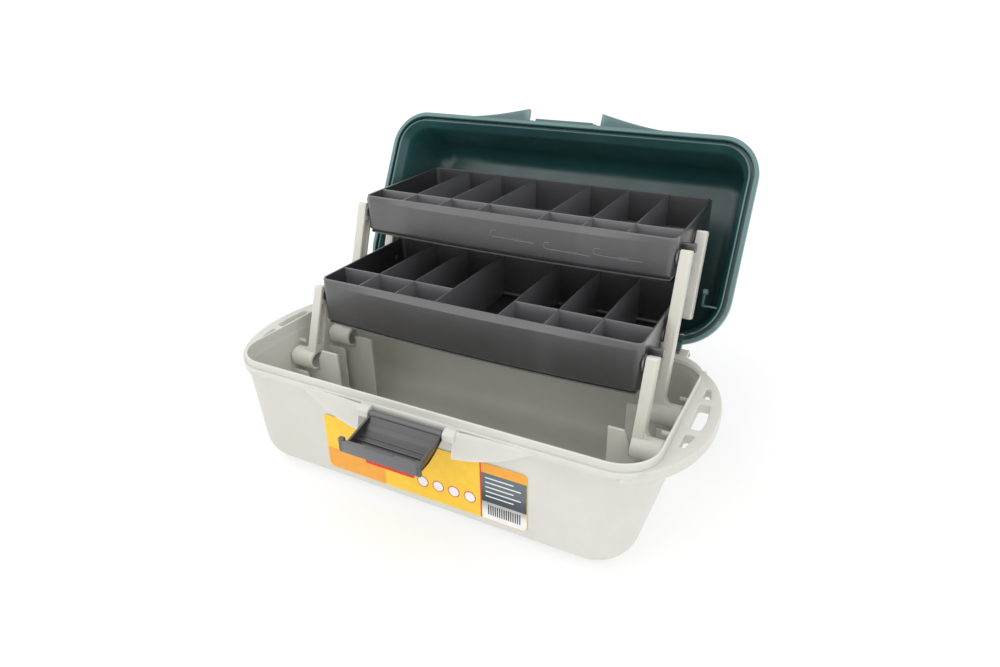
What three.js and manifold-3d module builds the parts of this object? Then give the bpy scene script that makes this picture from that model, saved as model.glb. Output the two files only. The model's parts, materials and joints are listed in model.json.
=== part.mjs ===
// Cantilever tackle box, shown open: moulded base tub, domed lid, two stacked trays on
// parallel arms, and a front latch. Millimetres. Origin at the centre of the base's underside,
// +X to the box's right-hand end, +Y to its hinge side, +Z up.
import * as THREE from "three";
import { mergeVertices } from "three/addons/utils/BufferGeometryUtils.js";
import Module from "manifold-3d";

const wasm = await Module();
wasm.setup();

// ---- driving dimensions -------------------------------------------------------------------
const WALL = 2.6;               // moulded wall of the tub and the lid
const GAP = 0.3;                // running gap between neighbouring pieces

// base tub, outside edge of the ledge that the lid closes over
const LEDGE_Z = 97.5;
const TUB = { half: 191.2, front: -87.4, rear: 94.2, radius: 34 };
const FLANGE = 4;               // depth of the thickened ledge
const SKIRT_Z = 91.5;           // wall top, where it flares out to the ledge
const WALL_TOP = { half: 187.8, front: -86.8, rear: 93, radius: 35 };
const FOOT_HALF = 175;
const FOOT_FRONT = -85.9;
const FOOT_REAR = 88.5;
const FOOT_RADIUS = 32;
const FOOT_FILLET = 24;
const LEDGE_WIDTH = 2;
const LIP_THICKNESS = 2.2;
const LIP_HIGH_Z = 104;         // front and sides
const LIP_LOW_Z = 97.2;         // rear, where the trays swing over
const REAR_SHELF_Y = 103;

// end handles
const HANDLE = { centreX: 150, centreY: 5, reach: 65, halfSpan: 92, squareness: 2.13 };
const HANDLE_DEPTH = 9;

// lid, drawn closed and then swung open
const RIM_Z = LEDGE_Z + 0.6;
const LID = { half: 193.9, front: -91, rear: 103, radius: 37, rearRadius: 47 };
const RIM_BAND = 10.6;
const GROOVE_INSET = 4.2;
const LIP_INSET = 7.3;
const LID_TOP_Z = 183;
const HINGE_Y = 109.5;
const HINGE_Z = 95;
const LID_OPEN_DEG = 118;

// trays, in their raised places
const TRAY_HALF = 154;
const LOWER = { bottom: 106, top: 151, front: 2.2, rear: 136, row: 34 };
const UPPER = { bottom: 173.4, top: 210.4, front: 78.7, rear: 212.3, row: 28.5 };
const TRAY_WALL = 2.2;
const DIVIDER = 1.6;
const TRAY_BOW = 5;
const COLUMN_LINES = [-111, -71.5, -30.5, 30.5, 71.5, 111];

// cantilever linkage
const ARM_REACH = 64.5;         // pivot to pivot
const LEAN_OPEN_DEG = 19.5;
const FRONT_PIVOT_Y = -12.5;
const REAR_PIVOT_Y = 43;
const PIVOT_Z = 71.5;
const LINK_SETBACK = 56;        // from a rear-arm pin to the link pin behind it
const ARM_INNER_X = 155.9;
const ARM_THICKNESS = 9;
const ARM_WIDTH = 12.5;
const ARM_END = 7;              // material beyond a pin
const BOSS_RADIUS = 9.8;
const SPIGOT_RADIUS = 7;
const BOSS_END_X = 180.4;
const PIN_RADIUS = 2.5;

// latch
const LATCH_PIVOT_Y = -91.6;
const LATCH_PIVOT_Z = 91.5;
const LATCH_HALF = 33;

// ---- materials ----------------------------------------------------------------------------
function plastic(colour, roughness) {
  return new THREE.MeshStandardMaterial({ color: colour, roughness, metalness: 0 });
}
const ivory = () => plastic(0xdfdfd8, 0.5);
const green = () => plastic(0x1f4a48, 0.42);
const charcoal = () => plastic(0x2b2b2e, 0.45);
const steel = () => new THREE.MeshStandardMaterial({ color: 0xb5b5b0, roughness: 0.3, metalness: 1 });

// ---- solid helpers ------------------------------------------------------------------------
function solidOf(geometry) {
  const bare = geometry.clone();
  bare.deleteAttribute("normal");
  bare.deleteAttribute("uv");
  const merged = mergeVertices(bare, 1e-4);
  return new wasm.Manifold(new wasm.Mesh({
    numProp: 3,
    vertProperties: Float32Array.from(merged.attributes.position.array),
    triVerts: Uint32Array.from(merged.index.array),
  }));
}

function geometryOf(solid) {
  const mesh = solid.getMesh();
  const geometry = new THREE.BufferGeometry();
  geometry.setAttribute("position", new THREE.BufferAttribute(mesh.vertProperties, 3));
  geometry.setIndex(new THREE.BufferAttribute(mesh.triVerts, 1));
  geometry.computeVertexNormals();
  return geometry;
}

const join = (...solids) => solids.reduce((whole, piece) => whole.add(piece));

function block(x0, x1, y0, y1, z0, z1) {
  const box = new THREE.BoxGeometry(x1 - x0, y1 - y0, z1 - z0);
  box.translate((x0 + x1) / 2, (y0 + y1) / 2, (z0 + z1) / 2);
  return solidOf(box);
}

// round bar along X
function bar(radius, x0, x1, y, z, sides = 18) {
  const cylinder = new THREE.CylinderGeometry(radius, radius, x1 - x0, sides);
  cylinder.rotateZ(-Math.PI / 2);
  cylinder.translate((x0 + x1) / 2, y, z);
  return solidOf(cylinder);
}

// a stack of equal-length closed loops joined into one solid; loops turn anticlockwise seen
// from the end that the stack grows towards
function loft(loops) {
  const count = loops[0].length;
  const points = [];
  const index = [];
  loops.forEach((loop) => loop.forEach((p) => points.push(p.x, p.y, p.z)));
  for (let level = 0; level + 1 < loops.length; level += 1) {
    for (let i = 0; i < count; i += 1) {
      const a = level * count + i;
      const b = level * count + ((i + 1) % count);
      index.push(a, b, b + count, a, b + count, a + count);
    }
  }
  const last = (loops.length - 1) * count;
  for (let i = 1; i + 1 < count; i += 1) {
    index.push(0, i + 1, i);
    index.push(last, last + i, last + i + 1);
  }
  const geometry = new THREE.BufferGeometry();
  geometry.setAttribute("position", new THREE.Float32BufferAttribute(points, 3));
  geometry.setIndex(index);
  return solidOf(geometry);
}

// rounded rectangle in plan; the front side may bow forward in `frontSteps` straight pieces
const CORNER_STEPS = 6;
function outline({ half, front, rear, radius, rearRadius = radius, bow = 0 }, frontSteps = 1) {
  const corners = [
    [half - rearRadius, rear - rearRadius, 0, rearRadius],
    [-(half - rearRadius), rear - rearRadius, 90, rearRadius],
    [-(half - radius), front + radius, 180, radius],
    [half - radius, front + radius, 270, radius],
  ];
  const points = [];
  corners.forEach(([cx, cy, start, r], k) => {
    for (let i = 0; i <= CORNER_STEPS; i += 1) {
      const angle = THREE.MathUtils.degToRad(start + (90 * i) / CORNER_STEPS);
      points.push(new THREE.Vector2(cx + r * Math.cos(angle), cy + r * Math.sin(angle)));
    }
    if (k === 2) {
      for (let i = 1; i < frontSteps; i += 1) {
        const u = -1 + (2 * i) / frontSteps;
        points.push(new THREE.Vector2(u * (half - radius), front - bow * (1 - u * u)));
      }
    }
  });
  return points;
}

function inset(box, d) {
  return {
    ...box,
    half: box.half - d,
    front: box.front + d,
    rear: box.rear - d,
    radius: Math.max(box.radius - d, 1.5),
    rearRadius: Math.max((box.rearRadius ?? box.radius) - d, 1.5),
  };
}

// loop at height z, or at a height that depends on y
function loopAt(box, z, frontSteps = 1) {
  const height = typeof z === "function" ? z : () => z;
  return outline(box, frontSteps).map((p) => new THREE.Vector3(p.x, p.y, height(p.y)));
}

function prism(box, z0, z1) {
  return loft([loopAt(box, z0), loopAt(box, z1)]);
}

// flat shape in the YZ plane, extruded along X from x0 to x1
function sideProfile(shape, x0, x1, curveSegments = 8) {
  const depth = x1 - x0;
  const geometry = new THREE.ExtrudeGeometry(shape, { depth, bevelEnabled: false, curveSegments });
  geometry.applyMatrix4(new THREE.Matrix4().set(0, 0, 1, x0, 1, 0, 0, 0, 0, 1, 0, 0, 0, 0, 0, 1));
  return solidOf(geometry);
}

function shapeOf(points) {
  return new THREE.Shape(points.map(([u, v]) => new THREE.Vector2(u, v)));
}

function roundedRectangle(u0, u1, v0, v1, r) {
  const shape = new THREE.Shape();
  shape.moveTo(u0 + r, v0);
  shape.lineTo(u1 - r, v0);
  shape.absarc(u1 - r, v0 + r, r, -Math.PI / 2, 0);
  shape.lineTo(u1, v1 - r);
  shape.absarc(u1 - r, v1 - r, r, 0, Math.PI / 2);
  shape.lineTo(u0 + r, v1);
  shape.absarc(u0 + r, v1 - r, r, Math.PI / 2, Math.PI);
  shape.lineTo(u0, v0 + r);
  shape.absarc(u0 + r, v0 + r, r, Math.PI, 1.5 * Math.PI);
  return shape;
}

// flat shape in plan, extruded upwards
function planProfile(shape, z0, z1, curveSegments = 2) {
  const depth = z1 - z0;
  const geometry = new THREE.ExtrudeGeometry(shape, { depth, bevelEnabled: false, curveSegments });
  geometry.translate(0, 0, z0);
  return solidOf(geometry);
}

// ---- base tub -----------------------------------------------------------------------------
// outside of the wall at a height below the ledge
function tubBox(z) {
  const rise = z / SKIRT_Z;
  return {
    half: THREE.MathUtils.lerp(FOOT_HALF, WALL_TOP.half, rise),
    front: THREE.MathUtils.lerp(FOOT_FRONT, WALL_TOP.front, rise),
    rear: THREE.MathUtils.lerp(FOOT_REAR, WALL_TOP.rear, rise),
    radius: THREE.MathUtils.lerp(FOOT_RADIUS, WALL_TOP.radius, rise),
  };
}

// the upstanding lip falls away towards the rear so that the trays clear it
function lipTop(y) {
  const fall = THREE.MathUtils.smoothstep(y, 48, 86);
  return LIP_HIGH_Z + (LIP_LOW_Z - LIP_HIGH_Z) * fall;
}

function filletLoops(radius, floorZ, skin) {
  return [0, 30, 60, 90].map((degrees) => {
    const t = THREE.MathUtils.degToRad(degrees);
    const z = floorZ + radius * (1 - Math.cos(t));
    return loopAt(inset(tubBox(z), skin + radius * (1 - Math.sin(t))), z);
  });
}

function tubShell() {
  const lipOuter = inset(TUB, LEDGE_WIDTH);
  const lipInner = inset(TUB, LEDGE_WIDTH + LIP_THICKNESS);
  return loft([
    ...filletLoops(FOOT_FILLET, 0, 0),
    loopAt(WALL_TOP, SKIRT_Z),
    loopAt(TUB, LEDGE_Z - FLANGE),
    loopAt(TUB, LEDGE_Z),
    loopAt(lipOuter, LEDGE_Z),
    loopAt(lipOuter, lipTop),
    loopAt(lipInner, lipTop),
    loopAt(lipInner, LEDGE_Z - 3),
    loopAt(inset(WALL_TOP, WALL), SKIRT_Z + 1),
    ...filletLoops(FOOT_FILLET - WALL, WALL, WALL).reverse(),
  ]);
}

function rearShelf() {
  const shelf = { half: LID.half - 4, front: 45, rear: REAR_SHELF_Y, radius: LID.radius };
  const inside = prism(inset(TUB, LEDGE_WIDTH + LIP_THICKNESS - 1), 80, 100);
  const plate = prism(shelf, LEDGE_Z - 3.4, LEDGE_Z);
  const skirt = block(-160, 160, REAR_SHELF_Y - WALL, REAR_SHELF_Y, LEDGE_Z - 8, LEDGE_Z - 1);
  return plate.add(skirt).subtract(inside).subtract(block(-200, 200, 0, 84, 80, 100));
}

// outer edge of the right-hand handle: a quarter turn either side of its middle
function handleEdge() {
  const power = 2 / HANDLE.squareness;
  const points = [];
  for (let degrees = -75; degrees <= 75; degrees += 7.5) {
    const t = THREE.MathUtils.degToRad(degrees);
    points.push([
      HANDLE.centreX + HANDLE.reach * Math.cos(t) ** power,
      HANDLE.centreY + HANDLE.halfSpan * Math.sign(t) * Math.abs(Math.sin(t)) ** power,
    ]);
  }
  return points;
}

function handle(side) {
  const edge = shapeOf(handleEdge());
  const windows = [
    [[196, -9], [205, -9], [206.4, 5], [204.4, 30], [196, 30]],
    [[196, -36], [199.6, -36], [203.4, -17], [196, -17]],
    [[196, 38], [202.8, 38], [199, 55], [196, 55]],
  ];
  windows.forEach((corners) => edge.holes.push(shapeOf(corners)));
  const plate = planProfile(edge, LEDGE_Z - HANDLE_DEPTH, LEDGE_Z, 22);
  const clear = prism(inset(TUB, LEDGE_WIDTH + LIP_THICKNESS - 1), 80, 110);
  const solid = plate.subtract(clear);
  return side > 0 ? solid : solid.mirror([1, 0, 0]);
}

// hollow guard beside the latch, deepest next to it and fading into the wall
const WING_START = 43;
const WING_END = 108;
function wing(side) {
  const station = (u, skin) => {
    const x = THREE.MathUtils.lerp(WING_START + skin, WING_END - 2 * skin, u);
    const low = 76 + 19 * u ** 2.1 + skin;
    const high = LEDGE_Z - 1.2 + 2 * skin;
    const back = TUB.front + 2.2 - skin;
    const brow = TUB.front - 0.4 - 3.2 * (1 - u) ** 1.3 + skin;
    const chin = TUB.front - 0.4 - 10.4 * (1 - u) + skin;
    return [
      new THREE.Vector3(x, back, low),
      new THREE.Vector3(x, back, high),
      new THREE.Vector3(x, Math.min(brow, back - 0.2), high),
      new THREE.Vector3(x, Math.min(chin, back - 0.2), low),
    ];
  };
  const steps = [0, 0.2, 0.4, 0.6, 0.8, 0.92, 1];
  const body = loft(steps.map((u) => station(u, 0)));
  const pocket = loft(steps.slice(0, 6).map((u) => station(u, 2.2)));
  const solid = body.subtract(pocket);
  return side > 0 ? solid : solid.mirror([1, 0, 0]);
}

function latchEar(side) {
  const x0 = LATCH_HALF + 1;
  const plate = shapeOf([
    [TUB.front + 2, 84], [LATCH_PIVOT_Y - 3.6, LATCH_PIVOT_Z - 3], [LATCH_PIVOT_Y - 3.6, LATCH_PIVOT_Z + 3],
    [LATCH_PIVOT_Y + 1, LEDGE_Z], [TUB.front + 2, LEDGE_Z],
  ]);
  const ear = sideProfile(plate, x0, WING_START + 1);
  const hole = bar(PIN_RADIUS - 0.7, x0 - 5, WING_START - 3, LATCH_PIVOT_Y, LATCH_PIVOT_Z, 16);
  const solid = ear.subtract(hole);
  return side > 0 ? solid : solid.mirror([1, 0, 0]);
}

// spigot that an arm turns on, with the gusset plate and keeper tab beside it
function armSeat(side, y) {
  const wallX = 190;
  const front = y === FRONT_PIVOT_Y;
  const spigot = bar(SPIGOT_RADIUS, 166, wallX, y, PIVOT_Z);
  const bore = bar(SPIGOT_RADIUS - 2.4, 160, 182, y, PIVOT_Z);
  const inner = front ? (side > 0 ? 136 : 131) : 134;
  const crown = front ? 83 : 73;
  const plate = new THREE.ExtrudeGeometry(shapeOf([
    [inner, 2], [wallX, 2], [wallX, 60.5], [154, 60.5], [154, 73], [front ? 149 : 154, crown], [inner, crown],
  ]), { depth: 2.6, bevelEnabled: false });
  plate.rotateX(Math.PI / 2);
  plate.translate(0, y + 1.3, 0);
  const gusset = solidOf(plate);
  const slope = block(176, wallX, y - 9, y - 6.6, 2, 66);
  const keeper = block(176, wallX, y + 7, y + 9, PIVOT_Z + 11.5, PIVOT_Z + 14);
  const room = bar(BOSS_RADIUS + 0.5, 150, BOSS_END_X + 0.5, y, PIVOT_Z);
  const solid = join(gusset, slope, keeper).subtract(room).add(spigot.subtract(bore));
  return side > 0 ? solid : solid.mirror([1, 0, 0]);
}

const KNUCKLE_RADIUS = 4.6;
const HINGE_PIN_RADIUS = 1.8;
function baseKnuckle(x0, x1) {
  const web = sideProfile(shapeOf([
    [REAR_SHELF_Y - 3, LEDGE_Z - 7.5], [HINGE_Y, HINGE_Z - KNUCKLE_RADIUS],
    [HINGE_Y, HINGE_Z], [REAR_SHELF_Y - 3, LEDGE_Z - 0.6],
  ]), x0, x1);
  return bar(KNUCKLE_RADIUS, x0, x1, HINGE_Y, HINGE_Z).add(web);
}

function baseTub() {
  let tub = join(tubShell(), rearShelf());
  for (const side of [1, -1]) {
    tub = join(tub, handle(side), wing(side), latchEar(side));
  }
  const inside = loft([
    ...filletLoops(FOOT_FILLET - 0.8, 0.8, 0.8),
    loopAt(inset(WALL_TOP, 0.8), SKIRT_Z),
  ]);
  for (const side of [1, -1]) {
    for (const y of [FRONT_PIVOT_Y, REAR_PIVOT_Y]) {
      tub = tub.add(armSeat(side, y).intersect(inside));
    }
    for (const [x0, x1] of [[138, 146], [160, 168]]) {
      tub = tub.add(baseKnuckle(side > 0 ? x0 : -x1, side > 0 ? x1 : -x0));
    }
  }
  const bore = bar(HINGE_PIN_RADIUS + GAP, -200, 200, HINGE_Y, HINGE_Z, 16);
  return tub.subtract(bore);
}

// ---- lid ----------------------------------------------------------------------------------
// domed shell with a channel around its rim that fits over the tub's lip
function lidShell() {
  const outside = loft([
    loopAt(LID, RIM_Z),
    loopAt(LID, RIM_Z + 7.4),
    loopAt(inset(LID, RIM_BAND), RIM_Z + 9.6),
    loopAt(inset(LID, 12.5), 162),
    loopAt(inset(LID, 15), 171.5),
    loopAt(inset(LID, 20.5), 178.5),
    loopAt(inset(LID, 29), 182),
    loopAt(inset(LID, 62), LID_TOP_Z),
  ]);
  const cavity = loft([
    loopAt(inset(LID, LIP_INSET + 1.2), RIM_Z - 1),
    loopAt(inset(LID, LIP_INSET + 1.6), RIM_Z),
    loopAt(inset(LID, 13.2), RIM_Z + 9.4),
    loopAt(inset(LID, 13.4), RIM_Z + 10),
    loopAt(inset(LID, 15.2), 162),
    loopAt(inset(LID, 17.4), 170.5),
    loopAt(inset(LID, 22), 176.5),
    loopAt(inset(LID, 29.5), 182 - WALL),
    loopAt(inset(LID, 62), LID_TOP_Z - WALL),
  ]);
  const innerLip = loft([
    loopAt(inset(LID, LIP_INSET), RIM_Z - 2),
    loopAt(inset(LID, LIP_INSET), RIM_Z),
    loopAt(inset(LID, LIP_INSET + 2.8), RIM_Z + 8),
  ]);
  const groove = prism(inset(LID, GROOVE_INSET), RIM_Z - 1, RIM_Z + 7).subtract(innerLip);
  return outside.subtract(cavity).subtract(groove);
}

// room for the tub's lip, which the lid's own lip crosses at the rear corners
function tubLipRoom() {
  const room = (d) => loft([
    loopAt(inset(TUB, d), RIM_Z - 1),
    loopAt(inset(TUB, d), (y) => Math.max(lipTop(y), RIM_Z) + 0.5),
  ]);
  const inner = inset(TUB, LEDGE_WIDTH + LIP_THICKNESS + 0.4);
  return room(LEDGE_WIDTH - 0.4).subtract(prism(inner, RIM_Z - 2, LIP_HIGH_Z + 2));
}

// curved fin beside the latch gap, matching the guard on the tub
function fin(side) {
  const station = (u) => {
    const x = THREE.MathUtils.lerp(39, 100, u);
    const reach = 11.5 * (1 - u) ** 1.35 + 0.3;
    const back = LID.front + 2;
    return [
      new THREE.Vector3(x, back, RIM_Z),
      new THREE.Vector3(x, back, RIM_Z + 7),
      new THREE.Vector3(x, LID.front - reach + 1.6, RIM_Z + 5.6),
      new THREE.Vector3(x, LID.front - reach, RIM_Z),
    ];
  };
  const solid = loft([0, 0.25, 0.5, 0.75, 0.9, 1].map(station));
  return side > 0 ? solid : solid.mirror([1, 0, 0]);
}

// rib and peg inside each end of the lid
function lidPeg(side) {
  const rib = block(168, 183, 62, 64, 103, 113);
  const post = block(166.6, 169.6, 50, 64, 106, 110);
  const head = bar(2.8, 166.2, 171, 50, 108, 12);
  const solid = join(rib, post, head);
  return side > 0 ? solid : solid.mirror([1, 0, 0]);
}

function lidKnuckle(x0, x1) {
  const web = sideProfile(shapeOf([
    [LID.rear - 3, RIM_Z + 0.4], [HINGE_Y, HINGE_Z + 0.6],
    [HINGE_Y, HINGE_Z + KNUCKLE_RADIUS], [LID.rear - 3, RIM_Z + 6.5],
  ]), x0, x1);
  const barrel = bar(KNUCKLE_RADIUS, x0, x1, HINGE_Y, HINGE_Z);
  const bore = bar(HINGE_PIN_RADIUS + GAP, x0 - 1, x1 + 1, HINGE_Y, HINGE_Z, 16);
  return barrel.add(web).subtract(bore);
}

const CATCH_Z = 122;
function lidSolid() {
  const catchLedge = block(-28, 28, LATCH_PIVOT_Y - 6.1, LID.front + 12, CATCH_Z - 6, CATCH_Z);
  const centreBar = block(-30.5, 30.5, LATCH_PIVOT_Y - 1.9, LID.front + 2, RIM_Z + 0.6, RIM_Z + 6.6);
  const trayRelief = block(-159, 159, LID.rear - 16, LID.rear + 1, RIM_Z - 2, RIM_Z + 0.3);
  const lipRelief = sideProfile(shapeOf([
    [LID.rear - 16, RIM_Z - 1], [LID.rear - 3.5, RIM_Z - 1], [LID.rear - 3.5, RIM_Z + 7],
    [LID.rear - 10.8, 106.5], [LID.rear - 15.3, 162], [LID.rear - 16, 162],
  ]), -159, 159);
  return lidShell()
    .subtract(trayRelief)
    .subtract(lipRelief)
    .subtract(tubLipRoom())
    .add(join(fin(1), fin(-1), lidPeg(1), lidPeg(-1), centreBar, catchLedge))
    .add(lidKnuckle(146 + GAP, 160 - GAP))
    .add(lidKnuckle(-160 + GAP, -146 - GAP));
}

// ---- trays --------------------------------------------------------------------------------
function trayBlank(tray) {
  const full = { half: TRAY_HALF, front: tray.front, rear: tray.rear, radius: 7, bow: TRAY_BOW };
  const steps = 8;
  return loft([
    loopAt({ ...inset(full, 3.4), front: full.front + 1.2 }, tray.bottom, steps),
    loopAt({ ...inset(full, 2.2), front: full.front }, tray.bottom + 2, steps),
    loopAt(full, tray.bottom + 4.4, steps),
    loopAt(full, tray.top - 4.5, steps),
    loopAt({ ...full, bow: 0.4 }, tray.top, steps),
  ]);
}

// compartment cells as [x0, x1, y0, y1]
function cells(tray, deepCentre) {
  const edges = [-TRAY_HALF + TRAY_WALL - DIVIDER / 2, ...COLUMN_LINES, TRAY_HALF - TRAY_WALL + DIVIDER / 2];
  const front = tray.front + TRAY_WALL;
  const row = tray.front + tray.row;
  const rear = tray.rear - TRAY_WALL;
  const list = [];
  for (let column = 0; column + 1 < edges.length; column += 1) {
    const x0 = edges[column] + DIVIDER / 2;
    const x1 = edges[column + 1] - DIVIDER / 2;
    if (deepCentre && column === 3) {
      list.push([x0, x1, front, rear]);
    } else {
      list.push([x0, x1, front, row - DIVIDER / 2]);
      list.push([x0, x1, row + DIVIDER / 2, rear]);
    }
  }
  return list;
}

// holes for the snap pins and the stops that the arms rest against, at [y, z]
function traySides(blank, pins, stop) {
  let tray = blank;
  for (const side of [1, -1]) {
    for (const [y, z] of pins) {
      const hole = bar(PIN_RADIUS + GAP, TRAY_HALF - 6, TRAY_HALF + 3, y, z, 12);
      tray = tray.subtract(side > 0 ? hole : hole.mirror([1, 0, 0]));
    }
    const [stopY, stopZ] = [stop[0] + 10.4, stop[1] + 2];
    const lug = block(TRAY_HALF - 1, TRAY_HALF + 11.5, stopY, stopY + 4.6, stopZ, stopZ + 7);
    tray = tray.add(side > 0 ? lug : lug.mirror([1, 0, 0]));
  }
  return tray;
}

function traySolid(tray, deepCentre, pins) {
  let solid = trayBlank(tray);
  for (const [x0, x1, y0, y1] of cells(tray, deepCentre)) {
    const pocket = roundedRectangle(x0, x1, y0, y1, 2.5);
    solid = solid.subtract(planProfile(pocket, tray.bottom + TRAY_WALL, tray.top + 1));
  }
  for (const side of [1, -1]) {
    const outer = TRAY_HALF - 1.3;
    const rowEnd = tray.front + tray.row;
    const step = block(outer, TRAY_HALF + 1, tray.front - 1, rowEnd, tray.top - 2.4, tray.top + 1);
    solid = solid.subtract(side > 0 ? step : step.mirror([1, 0, 0]));
  }
  return traySides(solid, pins, pins[0]);
}

// ---- linkage ------------------------------------------------------------------------------
// an arm stands on its base pivot at the origin and rises along +Z; x runs outwards
function armBar(low, high) {
  const half = ARM_WIDTH / 2;
  const face = roundedRectangle(-half, half, low, high, 2.6);
  const stem = sideProfile(face, ARM_INNER_X, ARM_INNER_X + ARM_THICKNESS, 3);
  const channel = block(ARM_INNER_X - 1, ARM_INNER_X + 5, -3.6, 3.6, low + 16, high - 2 * ARM_END - 3);
  return stem.subtract(channel);
}

function blindHole(z) {
  return bar(PIN_RADIUS + GAP, ARM_INNER_X - 1, ARM_INNER_X + 6, 0, z, 12);
}

function armSolid(reach, pinHeights) {
  const boss = bar(BOSS_RADIUS, ARM_INNER_X + 0.2, BOSS_END_X, 0, 0, 28);
  const bore = bar(SPIGOT_RADIUS + GAP, ARM_INNER_X - 1, BOSS_END_X + 1, 0, 0, 24);
  let arm = armBar(0, reach + ARM_END).add(boss).subtract(bore);
  pinHeights.forEach((z) => {
    const pad = block(ARM_INNER_X + 0.1, ARM_INNER_X + 6, -4.5, 4.5, z - 5, z + 5);
    arm = arm.add(pad);
  });
  pinHeights.forEach((z) => {
    arm = arm.subtract(blindHole(z));
  });
  return arm;
}

function linkSolid() {
  let link = armBar(-ARM_END, ARM_REACH + ARM_END);
  [0, ARM_REACH].forEach((z) => {
    link = link.subtract(blindHole(z));
  });
  return link;
}

function snapPin() {
  const shaft = bar(PIN_RADIUS, TRAY_HALF - TRAY_WALL - 2, ARM_INNER_X + 5.6, 0, 0, 12);
  const head = bar(PIN_RADIUS + 0.7, TRAY_HALF - TRAY_WALL - 2.2, TRAY_HALF - TRAY_WALL - 0.4, 0, 0, 12);
  return shaft.add(head);
}

// ---- latch --------------------------------------------------------------------------------
const LATCH_REACH = 37;
const LATCH_SAG = 13.5;         // floor of the scoop below the pivot
const LATCH_SHEET = 2.4;
function latchSolid() {
  const y = LATCH_PIVOT_Y;
  const z = LATCH_PIVOT_Z;
  const low = z - LATCH_SAG;
  const end = y - LATCH_REACH;
  const floor = new THREE.Shape();
  floor.moveTo(y + 1, z - 3);
  floor.quadraticCurveTo(y - 14, low + 0.6, y - 28, low);
  floor.lineTo(end, low);
  floor.lineTo(end, z - 2.5);
  floor.lineTo(end + LATCH_SHEET, z - 2.5);
  floor.lineTo(end + LATCH_SHEET, low + LATCH_SHEET);
  floor.lineTo(y - 28, low + LATCH_SHEET);
  floor.quadraticCurveTo(y - 14, low + 3.4, y, z + 2.6);
  const scoop = sideProfile(floor, -LATCH_HALF, LATCH_HALF, 6);
  const barrel = bar(3.2, -LATCH_HALF, LATCH_HALF, y, z);
  const lip = block(-36.5, 36.5, end, end + LATCH_SHEET, low, z - 2.5);
  const bumps = [-1, 1].map((side) => {
    const x0 = side > 0 ? 31.5 : -36.5;
    return block(x0, x0 + 5, end, end + 3, z - 4, z - 0.8);
  });
  const step = block(-12, 13, end, end + LATCH_SHEET, z - 3.5, z - 1.5);
  const cheek = shapeOf([
    [y, z + 1], [y - 2, z - 3], [y - 20, low + 1.2], [y - 35, low + 1.2], [y - 35, low + 6.5],
  ]);
  const cheeks = [-LATCH_HALF, LATCH_HALF - 2].map((x0) => sideProfile(cheek, x0, x0 + 2));
  const ribs = [12, 19, 26].map((d) => {
    const rise = 6 * Math.max(0, 1 - d / 22);
    const foot = low + 1.2 + rise;
    return block(-LATCH_HALF + 1, LATCH_HALF - 1, y - d - 0.7, y - d + 0.7, foot, foot + 3.6);
  });
  const bore = bar(PIN_RADIUS - 0.7, -60, 60, y, z, 16);
  return join(scoop, barrel, lip, step, ...bumps, ...cheeks, ...ribs).subtract(bore);
}

// ---- label --------------------------------------------------------------------------------
function labelSolid() {
  const sheet = new THREE.ExtrudeGeometry(roundedRectangle(-87, 101, 20.5, 73.5, 4), {
    depth: 0.4, bevelEnabled: false, curveSegments: 3,
  });
  const position = sheet.attributes.position;
  for (let i = 0; i < position.count; i += 1) {
    const [x, z, depth] = [position.getX(i), position.getY(i), position.getZ(i)];
    position.setXYZ(i, x, tubBox(z).front - GAP - depth, z);
  }
  return solidOf(sheet);
}

// ---- assembly -----------------------------------------------------------------------------
const group = new THREE.Group();

function addMesh(name, solid, material, parent = group) {
  const mesh = new THREE.Mesh(geometryOf(solid), material);
  mesh.name = name;
  parent.add(mesh);
  return mesh;
}

addMesh("base_tub", baseTub(), ivory());
addMesh("front_label", labelSolid(), plastic(0xf0b429, 0.4));

const lidPivot = new THREE.Group();
lidPivot.position.set(0, HINGE_Y, HINGE_Z);
lidPivot.rotation.x = -THREE.MathUtils.degToRad(LID_OPEN_DEG);
group.add(lidPivot);
addMesh("lid_shell", lidSolid().translate([0, -HINGE_Y, -HINGE_Z]), green(), lidPivot);

const lean = THREE.MathUtils.degToRad(LEAN_OPEN_DEG);
const along = (reach) => [reach * Math.sin(lean), reach * Math.cos(lean)];
const [riseY, riseZ] = along(ARM_REACH);
const lowerFrontPin = [FRONT_PIVOT_Y + riseY, PIVOT_Z + riseZ];
const lowerMidPin = [REAR_PIVOT_Y + riseY, PIVOT_Z + riseZ];
const lowerRearPin = [lowerMidPin[0] + LINK_SETBACK, lowerMidPin[1]];
const upperFrontPin = [lowerMidPin[0] + riseY, lowerMidPin[1] + riseZ];
const upperRearPin = [upperFrontPin[0] + LINK_SETBACK, upperFrontPin[1]];

addMesh("lower_tray", traySolid(LOWER, true, [lowerFrontPin, lowerMidPin, lowerRearPin]), charcoal());
addMesh("upper_tray", traySolid(UPPER, false, [upperFrontPin, upperRearPin]), charcoal());

function addSided(name, solid, material, y, z, turn) {
  for (const [hand, side] of [["right", 1], ["left", -1]]) {
    const piece = side > 0 ? solid : solid.mirror([1, 0, 0]);
    const mesh = addMesh(`${name}_${hand}`, piece, material());
    mesh.position.set(0, y, z);
    mesh.rotation.x = -turn;
  }
}
addSided("front_arm", armSolid(ARM_REACH, [ARM_REACH]), ivory, FRONT_PIVOT_Y, PIVOT_Z, lean);
const rearArm = armSolid(2 * ARM_REACH, [ARM_REACH, 2 * ARM_REACH]);
addSided("rear_arm", rearArm, ivory, REAR_PIVOT_Y, PIVOT_Z, lean);
addSided("rear_link", linkSolid(), ivory, lowerRearPin[0], lowerRearPin[1], lean);
addSided("front_arm_pin", snapPin(), charcoal, lowerFrontPin[0], lowerFrontPin[1], 0);
addSided("rear_arm_mid_pin", snapPin(), charcoal, lowerMidPin[0], lowerMidPin[1], 0);
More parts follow.
